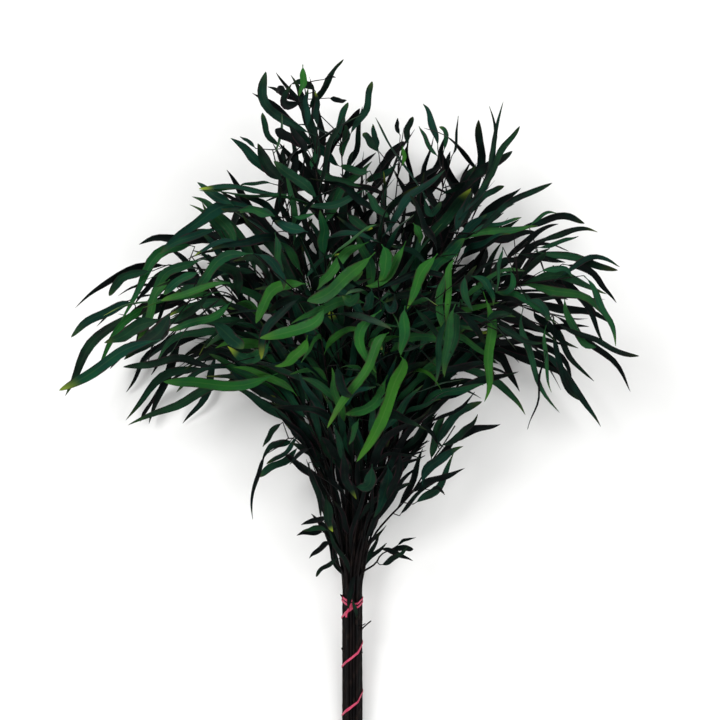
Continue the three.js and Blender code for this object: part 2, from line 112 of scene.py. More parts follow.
class Shells:
    """Closed shells, gathered into one mesh. Each vertex carries values for its material."""

    def __init__(self):
        self.points, self.faces, self.values, self.count = [], [], {}, 0

    def add(self, rings, start, end, **values):
        """A skin over rings (n, m, 3), closed at each end by a fan to a point."""
        n, m, _ = rings.shape
        at, beside, quads = skin_faces(rings, self.count)
        first, last = self.count + n * m, self.count + n * m + 1
        self.faces += quads.tolist()
        self.faces += [(first, b, a) for a, b in zip(at[0].tolist(), beside[0].tolist())]
        self.faces += [(last, a, b) for a, b in zip(at[-1].tolist(), beside[-1].tolist())]
        self.points.append(np.vstack([rings.reshape(-1, 3), start, end]))
        for name, value in values.items():
            value = np.broadcast_to(value, (n, m))
            ends = [value[0].mean(), value[-1].mean()]
            self.values.setdefault(name, []).append(np.concatenate([value.ravel(), ends]))
        self.count += n * m + 2

    def piece(self, name, material, slot, nodes, crease=60):
        """The shells as one object of the scene, which stands for its CAD nodes."""
        mesh = bpy.data.meshes.new(name)
        mesh.from_pydata(np.vstack(self.points).tolist(), [], self.faces)
        mesh.validate()
        for key, parts in self.values.items():
            values = mesh.attributes.new(key, "FLOAT", "POINT").data
            values.foreach_set("value", np.concatenate(parts))
        mesh.polygons.foreach_set("use_smooth", [True] * len(mesh.polygons))
        mesh.set_sharp_from_angle(angle=math.radians(crease))
        mesh.materials.append(material)
        made = new_object(name, mesh)
        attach(made, "root")
        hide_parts(*nodes)


# ---- Reading the branches from the frame ----

LEAF_RINGS = 4  # three-sided rings in a CAD leaf
LEAF_KNOTS = np.array([0.09, 0.33, 0.6, 0.83])  # where they lie along it
STEM_SIDES = 5
SMALLEST_LEAF_STEP = 3 * MM  # between two rings of a leaf
RING_REACH = 2.6 * MM  # points of a stem that are nearer than this are taken as one group
MOST_IN_GROUP = 18
PENTAGON_ERROR = 0.03  # the most that a stem's ring is out of true, as a share of its radius


def welded(node):
    """The points of a CAD node, and for each the set of points that it shares an edge with."""
    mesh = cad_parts[node].data
    corners = np.empty(3 * len(mesh.vertices))
    mesh.vertices.foreach_get("co", corners)
    points, index = np.unique(np.round(corners.reshape(-1, 3), 6), axis=0, return_inverse=True)
    near = [set() for _ in points]
    for polygon in mesh.polygons:
        face = [int(i) for i in index[list(polygon.vertices)].ravel()]
        for a in face:
            near[a].update(b for b in face if b != a)
    return points, near


def ring_frame(ring):
    """(left, right, keel) of a leaf's ring: the widest pair are its edges."""
    sides = ((0, 1, 2), (1, 2, 0), (0, 2, 1))
    _, left, right, keel = max((np.linalg.norm(ring[a] - ring[b]), a, b, c) for a, b, c in sides)
    return ring[left], ring[right], ring[keel]


def read_leaves(points, near):
    """Every leaf of a branch, traced back from its tip, and the points that leaves take up."""
    leaves, used = [], set()
    for tip, around in enumerate(near):
        if len(around) != 3:
            continue
        rings, behind, ring = [], {tip}, set(around)
        while len(ring) == 3 and len(rings) < LEAF_RINGS:
            rings.append(ring)
            ahead = set().union(*(near[i] for i in ring)) - ring - behind
            behind, ring = ring, ahead
        if len(rings) < LEAF_RINGS:
            continue
        frames = [ring_frame(points[sorted(r)]) for r in rings[::-1]]
        centres = np.array([(left + right) / 2 for left, right, _ in frames])
        keels = np.array([keel for _, _, keel in frames])
        sides = np.array([left - right for left, right, _ in frames])
        widths = np.linalg.norm(sides, axis=1)
        steps = np.linalg.norm(np.diff(np.vstack([centres, points[tip]]), axis=0), axis=1)
        if widths[0] > widths[-1] or steps.min() < SMALLEST_LEAF_STEP:
            continue
        ahead = np.gradient(np.vstack([centres, points[tip]]), axis=0)[:-1]
        turned = np.sum(np.cross(ahead, sides) * (centres - keels), axis=1) < 0
        sides[turned] *= -1
        leaves.append({"centres": centres, "sides": unit(sides), "width": widths.max(),
                       "tip": points[tip]})
        used.add(tip)
        used.update(*rings)
    return leaves, used


def pentagon(group):
    """(centre, radius) of the five points of a group that make a regular pentagon, or None."""
    best = None
    for five in combinations(range(len(group)), STEM_SIDES):
        corners = group[list(five)]
        centre = corners.mean(axis=0)
        spans = np.linalg.norm(corners - centre, axis=1)
        radius = spans.mean()
        gaps = np.sort([np.linalg.norm(a - b) for a, b in combinations(corners, 2)])
        wanted = 2 * radius * np.repeat(np.sin([math.pi / 5, 2 * math.pi / 5]), 5)
        error = (np.abs(gaps - wanted).max() + np.abs(spans - radius).max()) / radius
        if error < PENTAGON_ERROR and (best is None or error < best[0]):
            best = (error, centre, radius)
    return best and best[1:]


def read_stem(points):
    """The centres and radii of a stem's rings, from its cut end to its tip."""
    loose, rings = list(range(len(points))), []
    while loose:
        group, front = [], [loose.pop()]
        while front:
            i = front.pop()
            group.append(i)
            close = [j for j in loose if np.linalg.norm(points[j] - points[i]) < RING_REACH]
            front += close
            loose = [j for j in loose if j not in close]
        found = STEM_SIDES <= len(group) <= MOST_IN_GROUP and pentagon(points[group])
        if found:
            rings.append(found)
    path = [min(rings, key=lambda ring: ring[0][1])]
    rest = [ring for ring in rings if ring is not path[0]]
    while rest:
        following = min(rest, key=lambda ring: np.linalg.norm(ring[0] - path[-1][0]))
        rest = [ring for ring in rest if ring is not following]
        path.append(following)
    return np.array([c for c, _ in path]), np.array([r for _, r in path])


branches = {}
for node in sorted(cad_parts):
    if node.startswith("branch_"):
        points, near = welded(node)
        leaves, used = read_leaves(points, near)
        others = points[[i for i in range(len(points)) if i not in used]]
        path, radii = read_stem(others)
        branches[node] = {"path": path, "radii": radii, "leaves": leaves}

necks = np.array([branch["path"][1] for branch in branches.values()])
cuts = np.array([branch["path"][0] for branch in branches.values()])
neck_centre = necks.mean(axis=0)
along = unit(np.mean(necks - cuts, axis=0))
across = np.array([1.0, 0.0, 0.0])
over = np.cross(across, along)
half_width = (cad_box[1][0] - cad_box[0][0]) / 2


# ---- Stems ----

STEM_CORNERS = 8
NODE_SPACING = 34 * MM  # between the swellings where leaves once grew
NODE_REACH = 2.2 * MM
NODE_SWELLING = 0.10
BARK_UNEVEN = 0.05
BARK_LIMITS = (-0.08, 0.06)
STEM_WANDER = 0.12 * MM
HANDLE_KNOTS = 8  # where a stem's line is fixed in the handle, in which it runs straight
HANDLE_STEP = 5 * MM
CROWN_STEP = 7 * MM
TWIG_CORNERS = 6


def tube(path, radius, corners, lead):
    """Rings round a path, anticlockwise about it, and its tangents. The first ring starts at lead."""
    ahead = unit(np.gradient(path, axis=0))
    angles = 2 * math.pi * np.arange(corners)[:, None] / corners
    side, rings = np.asarray(lead, float), []
    for point, tangent, r in zip(path, ahead, radius):
        side = unit(side - (side @ tangent) * tangent)
        lift = np.cross(tangent, side)
        rings.append(point + r[:, None] * (np.cos(angles) * side + np.sin(angles) * lift))
    return np.array(rings), ahead


def fine_stem(branch):
    """The places along a stem at close steps, with its centre line and its radius there."""
    path, radii = branch["path"], branch["radii"]
    straight = np.linspace(0, 1, HANDLE_KNOTS)[:, None] * (path[1] - path[0]) + path[0]
    knots = np.vstack([straight, path[2:]])
    thick = np.concatenate([np.linspace(radii[0], radii[1], HANDLE_KNOTS), radii[2:]])
    at = travelled(knots)
    neck, end = at[HANDLE_KNOTS - 1], at[-1]
    fine = np.concatenate([np.arange(0, neck, HANDLE_STEP), np.arange(neck, end, CROWN_STEP), [end]])
    return fine, spline(at, knots, fine), np.interp(fine, at, thick)


def add_stem(shells, at, centres, radius):
    """A stem with uneven bark, swollen at its leaf nodes. Returns the centre line that it took."""
    wander = STEM_WANDER * rng.normal(size=(len(at) // 6 + 2, 3))
    coarse = np.linspace(0, at[-1], len(wander))
    centres = centres + spline(coarse, wander, at)
    phase = rng.uniform(0, NODE_SPACING)
    from_node = (at + phase) % NODE_SPACING - NODE_SPACING / 2
    scar = np.exp(-((from_node / NODE_REACH) ** 2))[:, None]
    uneven = BARK_UNEVEN * rng.normal(size=(len(at), STEM_CORNERS))
    radii = radius[:, None] * (0.97 + NODE_SWELLING * scar + np.clip(uneven, *BARK_LIMITS))
    rings, ahead = tube(centres, radii, STEM_CORNERS, across)
    shells.add(rings, centres[0] - 0.3 * MM * ahead[0], centres[-1] + 0.5 * MM * ahead[-1],
               stem_along=(at / at[-1])[:, None], stem_node=scar)
    return centres


def add_stub(shells, foot, direction, length, thickness):
    """The peg left by a broken side twig."""
    at = np.array([0, 0.3, 0.6, 0.85, 1.0])
    bend = 0.12 * length * np.outer(at**2, unit(rng.normal(size=3)))
    path = foot + np.outer(at, direction) * length + bend
    radii = thickness * np.outer([1.25, 1.0, 0.92, 0.85, 0.7], np.ones(TWIG_CORNERS))
    radii *= 1 + 0.06 * rng.normal(size=radii.shape)
    rings, ahead = tube(path, radii, TWIG_CORNERS, np.cross(direction, [0.3, 0.5, 0.8]))
    end = path[-1] + 0.2 * thickness * ahead[-1]
    shells.add(rings, path[0], end, stem_along=0.5, stem_node=0.4)


# ---- Leaves ----
# A leaf is a dictionary: the base of its petiole, its midline's centres and the sideways
# directions at LEAF_KNOTS, its tip and its full width. Every leaf becomes a blade in the same way,
# whether it's read from the frame, grown between those or laid on top.

ROWS = np.array([0.0, 0.05, 0.085, 0.12, 0.17, 0.24, 0.32, 0.41,
                 0.5, 0.59, 0.68, 0.76, 0.83, 0.89, 0.94, 0.975])
TOP = np.array([1, 0.55, 0, -0.55, -1])
ACROSS = np.concatenate([TOP, TOP[1:4][::-1]])  # eight places round a blade's section
UNDER = np.array([0, 0, 0, 0, 0, 1, 1, 1])
PETIOLE = 0.07  # its share of a leaf's length
PETIOLE_HALF_WIDTH = 0.75 * MM
PETIOLE_THICKNESS = 0.55 * MM
BLADE_THICKNESS = 0.36 * MM
NARROWEST_HALF = 0.5 * MM
WIDEST_AT = 0.3  # of the blade's length
SWAY = 0.035  # of the leaf's length, from side to side
ROCK = 0.015  # of the leaf's length, up and down
FOLD = (0.16, 0.4)  # how far the edges stand above the midrib, of half the width


def leaf_outline(blunt):
    """The share of its full width that a blade has at each row. It narrows late if it's blunt."""
    s = np.clip((ROWS - PETIOLE) / (1 - PETIOLE), 0, 1)
    rise = np.sin(math.pi / 2 * np.minimum(1, s / WIDEST_AT)) ** 0.85
    fall = 1 - np.clip((s - WIDEST_AT) / (1 - WIDEST_AT), 0, 1) ** (2.5 + 4.5 * blunt)
    return rise * fall


def grow_blade(leaf, ripple, blunt):
    """The rings of a leaf's blade, rippled and folded up from its midrib, and its midline."""
    line = np.vstack([leaf["base"], leaf["centres"], leaf["tip"]])
    knots = np.concatenate([[0], LEAF_KNOTS, [1]])
    length = travelled(line)[-1]
    rows = np.concatenate([ROWS, [1.0]])
    mid = spline(knots, line, rows)
    sides = leaf["sides"]
    side = spline(knots, np.vstack([sides[0], sides, sides[-1]]), rows)
    ahead = unit(np.gradient(mid, rows, axis=0))
    side = unit(side - np.sum(side * ahead, axis=1, keepdims=True) * ahead)
    lift = np.cross(ahead, side)
    sway, rock = (np.sin(np.pi * rows) * np.sin(2 * np.pi * (rows * rng.uniform(*waves) + rng.random()))
                  for waves in ((0.7, 1.3), (0.8, 1.6)))
    mid = mid + length * (SWAY * sway[:, None] * side + ROCK * rock[:, None] * lift)
    half = np.maximum(leaf["width"] / 2 * leaf_outline(blunt), NARROWEST_HALF)
    half[0] = PETIOLE_HALF_WIDTH
    waves = rng.uniform(1.5, 3.2, size=2)
    phases = rng.random(2)
    left, right = (np.sin(2 * np.pi * (ROWS * w + p)) for w, p in zip(waves, phases))
    edge = np.where(ACROSS > 0, left[:, None], right[:, None])
    fold = rng.uniform(*FOLD)
    reach = np.abs(ACROSS)
    raised = half[:, None] * (fold * reach**1.3 + ripple * edge * reach**2)
    rounded = 1 - reach**2
    body = BLADE_THICKNESS * np.sqrt(np.clip(half / half.max(), 0.25, 1))[:, None] * rounded
    stalk = np.interp(ROWS, [0, PETIOLE, 0.2], [1, 1, 0])[:, None] * PETIOLE_THICKNESS * rounded
    offset = raised + np.where(UNDER == 1, -1, 1) * (body / 2 + stalk)
    sideways = half[:, None] * ACROSS * (1 + 0.07 * np.roll(edge, 1, axis=0))
    rings = mid[:-1, None] + sideways[..., None] * side[:-1, None]
    return rings + offset[..., None] * lift[:-1, None], mid


class Foliage:
    """All that has been grown so far, so that no blade grows through another."""

    def __init__(self):
        self.trees, self.low, self.high = [], [], []

    def note(self, rings, tree=None):
        points = rings.reshape(-1, 3)
        self.trees.append(tree or skin_tree(rings))
        self.low.append(points.min(axis=0))
        self.high.append(points.max(axis=0))

    def blocks(self, tree, points):
        low, high = points.min(axis=0), points.max(axis=0)
        near = np.all((np.array(self.low) <= high) & (low <= np.array(self.high)), axis=1)
        return any(self.trees[i].overlap(tree) for i in np.flatnonzero(near))


def skin_tree(rings):
    """A search tree over a skin of rings."""
    return BVHTree.FromPolygons(rings.reshape(-1, 3).tolist(), skin_faces(rings)[2].tolist())


def turn_towards(direction, goal, angle):
    """A direction turned towards a goal by an angle, and no further than the goal."""
    between = math.acos(float(np.clip(direction @ goal, -1, 1)))
    return turn(direction, np.cross(direction, goal) + 1e-9, min(angle, between))


def new_leaf(base, direction, hang, sag, length, width, roll, twist, sickle):
    """A leaf that starts along direction, bends towards hang by sag and curves aside by sickle."""
    side = unit(np.cross(direction, UP) + 1e-9)
    bend = unit(turn_towards(direction, hang, sag) + sickle * side)
    middle = base + direction * length / 2
    tip = middle + bend * length / 2
    centres, tangents = arc(base, middle, tip, LEAF_KNOTS[:, None])
    sides = []
    for share, tangent in zip(LEAF_KNOTS, tangents):
        side = unit(side - (side @ tangent) * tangent)
        sides.append(turn(side, tangent, roll + twist * share))
    sides = -np.array(sides)
    return {"base": base, "centres": centres, "sides": sides, "width": width, "tip": tip}


FLOOR_CLEARANCE = 0.5 * MM
GROWTH_ROOM = 6 * MM  # how far past the frame's box the leaves may reach
low_corner = np.array(cad_box[0]) - GROWTH_ROOM
high_corner = np.array(cad_box[1]) + GROWTH_ROOM
low_corner[2] = FLOOR_CLEARANCE

foliage = Foliage()

CREST_REACH = 40 * MM  # leaves nearer than this, seen from above, tell how high the crown is here
CREST_LEAST = 30 * MM
leaf_spots = np.vstack([leaf["centres"] for grown in branches.values() for leaf in grown["leaves"]])


def tone_at(point):
    """How light a leaf is: painted light makes the top of the bunch greener and its left side a little
    lighter, painted shade darkens its depth, its back and the leaves near the neck, and a random share
    is the leaves' own tone.
    """
    near = np.linalg.norm((leaf_spots - point)[:, :2], axis=1) < CREST_REACH
    low, high = np.percentile(leaf_spots[near, 2], [10, 95]) if near.any() else (0, 0)
    rise = np.clip((point[2] - low) / max(high - low, CREST_LEAST), 0, 1)
    back = np.clip((point[1] - 0.08) / 0.25, 0, 1)
    aside = np.clip(-point[0] / 0.25, -1, 1)
    low_down = np.clip((point[1] - neck_centre[1] - 0.16) / 0.12, 0.08, 1)
    light = 0.68 * rise**2 - 0.3 * back + 0.1 * aside + rng.normal(0, 0.12)
    return float(np.clip(light * low_down, 0.0, 1.0))


# The crown's outline from above, across and up from the neck, in millimetres.
OUTLINE = MM * np.array([
    (-20, 0), (-45, 40), (-70, 90), (-50, 120), (-60, 170), (-85, 200), (-105, 240), (-150, 265),
    (-305, 210), (-360, 265), (-385, 310), (-315, 395), (-250, 475), (-190, 530), (-105, 530),
    (-145, 590), (-115, 665), (-80, 700), (-10, 665), (35, 650), (40, 610), (115, 630), (150, 605),
    (190, 625), (215, 590), (185, 525), (165, 475), (250, 495), (315, 465), (340, 420), (335, 380),
    (370, 305), (295, 245), (225, 215), (190, 285), (175, 250), (130, 255), (110, 200), (80, 135),
    (60, 95), (85, 70), (80, 35), (35, 15), (20, -10),
])


def within_outline(point):
    """True if a place lies inside the crown's outline, seen from above."""
    x, y = point[:2] - neck_centre[:2]
    (x0, y0), (x1, y1) = OUTLINE.T, np.roll(OUTLINE, -1, axis=0).T
    spans = (y0 > y) != (y1 > y)
    reached = x0[spans] + (y - y0[spans]) / (y1[spans] - y0[spans]) * (x1[spans] - x0[spans])
    return np.count_nonzero(reached > x) % 2 == 1


BLUNT_SHARE = 0.15  # of the leaves that aren't laid
BRIGHT_SHARE = 0.06  # of the leaves have a yellow tip; the others' is faint
PRESSED = 0.02  # the share of its height that a point pressed to the floor keeps


def place_leaf(shells, leaf, tone_and_shade, ripple, blunt, test=True):
    """Adds a leaf to a branch's shells, unless something is in its way. Says whether it did."""
    rings, mid = grow_blade(leaf, ripple, blunt)
    heights = rings[..., 2]
    if heights.min() < FLOOR_CLEARANCE:
        rings[..., 2] = np.maximum(heights, FLOOR_CLEARANCE + PRESSED * heights.clip(0))
    points = rings.reshape(-1, 3)
    if test and (np.any(points < low_corner) or np.any(points > high_corner)):
        return False
    free = rings[2:]
    tree = skin_tree(free)
    if test and foliage.blocks(tree, free.reshape(-1, 3)):
        return False
    foliage.note(free, tree)
    tip = rings[-1].mean(axis=0) * 0.25 + mid[-1] * 0.75
    tip[2] = max(tip[2], FLOOR_CLEARANCE)
    bright = rng.random() < BRIGHT_SHARE
    seed = rng.random()
    yellow = rng.uniform(0.5, 1) if bright else rng.uniform(0, 0.12)
    shells.add(rings, rings[0].mean(axis=0), tip, leaf_tone=tone_and_shade, leaf_along=ROWS[:, None],
               leaf_across=ACROSS, leaf_under=UNDER, leaf_seed=seed,
               leaf_tip=yellow * min(1, 3 * tone_and_shade))
    return True


# ---- Growing the bunch ----

LOW_SHARE = 0.4  # below this share of a stem its leaves are painted dark as shade and lie along it
FULLER = 1.05  # how much wider the blades are than the frame's leaves

for branch in branches.values():
    at, centres, radius = fine_stem(branch)
    branch["stem_shells"], branch["leaf_shells"] = Shells(), Shells()
    branch["at"] = at
    branch["line"] = add_stem(branch["stem_shells"], at, centres, radius)
    branch["neck_at"] = np.linalg.norm(branch["path"][1] - branch["path"][0])
    rings, _ = tube(branch["line"], np.tile(radius[:, None], TWIG_CORNERS), TWIG_CORNERS, across)
    foliage.note(rings)

for branch in branches.values():
    for leaf in branch["leaves"]:
        first, second = leaf["centres"][:2]
        backwards = first - (second - first) * LEAF_KNOTS[0] / (LEAF_KNOTS[1] - LEAF_KNOTS[0])
        nearest = np.argmin(np.linalg.norm(branch["line"] - backwards, axis=1))
        leaf["base"] = branch["line"][nearest]
        leaf["at"] = branch["at"][nearest]
        blunt = float(rng.random() < BLUNT_SHARE)
        leaf["width"] *= FULLER
        share = (leaf["at"] - branch["neck_at"]) / (branch["at"][-1] - branch["neck_at"])
        # Painted shade darkens the leaves low on a stem.
        tone_and_shade = tone_at(leaf["centres"][2]) * min(1, share / LOW_SHARE)
        place_leaf(branch["leaf_shells"], leaf, tone_and_shade, 0.08, blunt, test=False)

LEAF_TURN = math.radians(137.5)
LIGHT_SHARE = 0.3  # of the small leaves; the rest are dark
TRIES = [0, 0.5, -0.5, 1.1, -1.1, 1.9, -1.9, 2.7]  # turns about the stem, until a leaf fits
LONG_STEM = 348 * MM  # past the neck; a shorter stem bears smaller leaves
USUAL_LENGTH, USUAL_WIDTH = 95 * MM, 12.5 * MM


def bend_of(leaf):
    """The angle between a leaf's start and its end."""
    start = unit(leaf["centres"][0] - leaf["base"])
    end = unit(leaf["tip"] - leaf["centres"][-1])
    return math.acos(float(np.clip(start @ end, -1, 1)))


def grow_between(branch, spacing, sizes, from_share):
    """Small leaves along a stem, between those that the frame holds."""
    line, at, neck_at = branch["line"], branch["at"], branch["neck_at"]
    reach = at[-1] - neck_at
    tangents = unit(np.gradient(line, axis=0))
    outward = float(np.clip(1.4 * line[-1][0] / half_width, -1, 1))
    sag = np.percentile([bend_of(leaf) for leaf in branch["leaves"]], 75)
    scale = min(1, max(0.4, reach / LONG_STEM))
    places = np.arange(neck_at + from_share * reach, at[-1], spacing * scale)
    for k, place in enumerate(places, 1):
        share = (place - neck_at) / reach
        i = int(np.argmin(np.abs(at - place)))
        tangent = tangents[i]
        low = max(0, 1 - share / LOW_SHARE)
        lean = math.radians(4 + 6 * (1 - low) + share * rng.uniform(20, 70))
        level = unit(np.cross(tangent, UP) + 1e-9)
        angle = LEAF_TURN * k + rng.uniform(0, 0.7)
        hang = unit(np.array([outward * rng.uniform(0.2, 1.1), -1, -0.25]))
        length = scale * rng.uniform(*sizes)
        for shift in TRIES:
            aside = turn(level, tangent, angle + shift)
            direction = unit(tangent * math.cos(lean) + aside * math.sin(lean) * [1, 1, 0.6])
            bend = max(0.1, sag * rng.uniform(0.4, 1.7)) * (1 - 0.8 * low)
            width = math.sqrt(length / USUAL_LENGTH) * USUAL_WIDTH * rng.uniform(0.55, 1.0)
            roll, twist, sickle = rng.uniform(-1.3, 1.3), rng.uniform(-1.4, 1.4), rng.uniform(-0.8, 0.8)
            leaf = new_leaf(line[i], direction, hang, bend, length, width * (1 - 0.35 * low),
                            roll, twist, sickle * (1 - 0.7 * low))
            if not (within_outline(leaf["tip"]) and within_outline(leaf["centres"][2])):
                continue
            # Painted shade darkens the leaves low on a stem.
            tone_and_shade = tone_at(leaf["centres"][2]) * (1 - low)
            tone_and_shade *= 1 if rng.random() < LIGHT_SHARE else 0.3
            if place_leaf(branch["leaf_shells"], leaf, tone_and_shade, 0.1, float(rng.random() < BLUNT_SHARE)):
                break


LOW_REACH = (4 * MM, 130 * MM)  # past the neck


def grow_low(branch, count, sizes):
    """Short leaves along the foot of a stem, just past the neck, painted dark as shade."""
    line, at, neck_at = branch["line"], branch["at"], branch["neck_at"]
    tangents = unit(np.gradient(line, axis=0))
    outward = unit((branch["path"][1] - neck_centre) * [1, 0, 1] + 1e-6)
    for place in neck_at + rng.uniform(*LOW_REACH, count):
        i = int(np.argmin(np.abs(at - place)))
        aside = unit(outward + 0.8 * rng.normal(size=3) * [1, 0, 1])
        lean = math.radians(rng.uniform(6, 34))
        direction = unit(tangents[i] * math.cos(lean) + aside * math.sin(lean) * [1, 1, 0.7])
        length = rng.uniform(*sizes)
        bend, width = rng.uniform(0, 0.4), length * rng.uniform(0.09, 0.15)
        roll, twist, sickle = rng.uniform(-1.3, 1.3), rng.uniform(-1.2, 1.2), rng.uniform(-0.4, 0.4)
        leaf = new_leaf(line[i], direction, -UP, bend, length, width, roll, twist, sickle)
        if within_outline(leaf["tip"]):
            # Their near-black tone is painted shade.
            place_leaf(branch["leaf_shells"], leaf, rng.uniform(0, 0.12), 0.1, 0.0)


for node, branch in branches.items():
    if "sprig" not in node:
        grow_between(branch, 22 * MM, (65 * MM, 160 * MM), 0.1)
        grow_low(branch, 24, (38 * MM, 85 * MM))

# ---- The string ----

STRING_BELOW_NECK = 12 * MM
NECK_TURNS = 2
NECK_PITCH = 5 * MM
NECK_DIP = 7 * MM
SPIRAL_TURNS = 2.6
SPIRAL_PITCH = 69 * MM
STRING_WIDTH = 3.2 * MM
STRING_THICKNESS = 0.7 * MM
STRING_STEP = 2 * MM
STRING_CLEARANCE = 2.45 * MM  # from the outer stems' centre lines to the middle of the string
STRING_KNOTS = 1200
STRING_CORNERS = 12
STRING_SQUARE = 0.7  # below 1 the string's section is squarer than an ellipse

bearings = np.radians(np.arange(0, 360, 2))
aside = np.stack([(necks - neck_centre) @ across, (necks - neck_centre) @ over], axis=1)
support = (aside @ np.stack([np.cos(bearings), np.sin(bearings)])).max(axis=0) + STRING_CLEARANCE


def hull_radius(angle):
    """How far from the handle's middle a tight string runs, at an angle round it."""
    facing = np.cos(angle[:, None] - bearings)
    return np.where(facing > 0.05, support / np.maximum(facing, 0.05), 1).min(axis=1)


def facing_out(angle):
    """The direction that points out of the handle at an angle round it."""
    return np.multiply.outer(np.cos(angle), across) + np.multiply.outer(np.sin(angle), over)


def string_line():
    """The middle of the string, from the neck down, and which way is outwards along it."""
    turns = np.linspace(0, NECK_TURNS + SPIRAL_TURNS, STRING_KNOTS)
    angle = 2 * math.pi * turns + math.pi / 2
    spiral = np.maximum(0, turns - NECK_TURNS)
    dip = np.where(spiral > 0, NECK_DIP, NECK_DIP * (1 + np.sin(angle)) / 2)
    wound = np.minimum(turns, NECK_TURNS) * NECK_PITCH
    drop = wound + spiral * SPIRAL_PITCH + dip + STRING_BELOW_NECK
    radius = hull_radius(angle) + 0.15 * MM * np.sin(5.3 * angle)
    outward = facing_out(angle)
    line = neck_centre - drop[:, None] * along + radius[:, None] * outward
    gone = travelled(line)
    fine = np.arange(0, gone[-1], STRING_STEP)
    line, outward = (np.stack([np.interp(fine, gone, column) for column in columns], axis=1)
                     for columns in (line.T, outward.T))
    return line, unit(outward)


def ribbon(shells, line, outward, width, thickness):
    """A flat string of twisted fibres along a line."""
    ahead = unit(np.gradient(line, axis=0))
    side = unit(np.cross(ahead, outward))
    lift = np.cross(ahead, side)
    angles = 2 * math.pi * np.arange(STRING_CORNERS) / STRING_CORNERS
    flat_x, flat_y = (np.sign(turned) * np.abs(turned) ** STRING_SQUARE
                      for turned in (np.cos(angles), np.sin(angles)))
    gone = travelled(line)
    width = width / 2 * (1 + 0.10 * np.sin(gone / (7 * MM)) + 0.05 * np.sin(gone / (2.3 * MM)))
    ridges = 1 + 0.14 * np.sin(5 * angles[None, :] + gone[:, None] / (3 * MM))
    rings = (line[:, None] + (width[:, None] * flat_x)[..., None] * side[:, None]
             + (thickness / 2 * flat_y * ridges)[..., None] * lift[:, None])
    shells.add(rings, line[0], line[-1], string_across=flat_x, string_along=(gone / 0.1)[:, None])
    foliage.note(rings)


def on_handle(drop, angle, out):
    """A place on the handle, a drop below the neck, at an angle round it and out from the string."""
    radius = hull_radius(np.array([angle]))[0] + out
    return neck_centre - drop * along + radius * facing_out(angle)


KNOT_DROP = STRING_BELOW_NECK + NECK_DIP + NECK_PITCH
KNOT_TURNS = 1.8
FRONT = math.pi / 2

string = Shells()
ribbon(string, *string_line(), STRING_WIDTH, STRING_THICKNESS)
turns = np.linspace(0, 1, 34)[:, None]
coil = 2 * math.pi * KNOT_TURNS * turns
knot = on_handle(KNOT_DROP, FRONT, 1.8 * MM) + 2.6 * MM * np.cos(coil) * across
knot = knot + 1.7 * MM * np.sin(coil) * unit(along + 0.5 * across)
knot = knot + 1.3 * MM * np.sin(coil * 0.7 + 0.6) * over
ribbon(string, knot, np.tile(over, (len(knot), 1)), 2.2 * MM, 1.1 * MM)
for side, length in ((-1, 19 * MM), (1, 13 * MM)):
    run = np.linspace(0, 1, 12)[:, None]
    tail = on_handle(KNOT_DROP, FRONT, 1.2 * MM) - run * length * unit(along - 0.45 * side * across)
    tail = tail + (2.5 * MM * np.sin(3 * run) * side) * across + 1.6 * MM * np.sin(2.6 * run) * over
    ribbon(string, tail, np.tile(over, (len(tail), 1)), 2.4 * MM, 0.7 * MM)

# Broken side twigs on the handle: how far below the neck, the angle round it, how far it points out
# rather than up, its length and its thickness. The lengths are in millimetres.
STUBS = [
    (20, 2.9, 0.8, 8, 1.2),
    (94, 3.0, 0.5, 7, 1.3),
    (98, 0.35, 0.7, 6, 1.3),
    (64, 0.3, 0.9, 24, 1.0),
    (58, 0.5, 1.6, 13, 0.8),
    (150, 2.6, 0.5, 5, 1.4),
    (176, 0.6, 0.6, 6, 1.2),
    (30, 1.2, 0.4, 7, 1.0),
]
for drop, angle, lean, length, thickness in STUBS:
    foot = on_handle(drop * MM, angle, -2.2 * MM)
    beside = [np.linalg.norm(branch["line"] - foot, axis=1).min() for branch in branches.values()]
    owner = list(branches.values())[int(np.argmin(beside))]
    direction = unit(along + lean * facing_out(angle))
    add_stub(owner["stem_shells"], foot, direction, length * MM, thickness * MM)
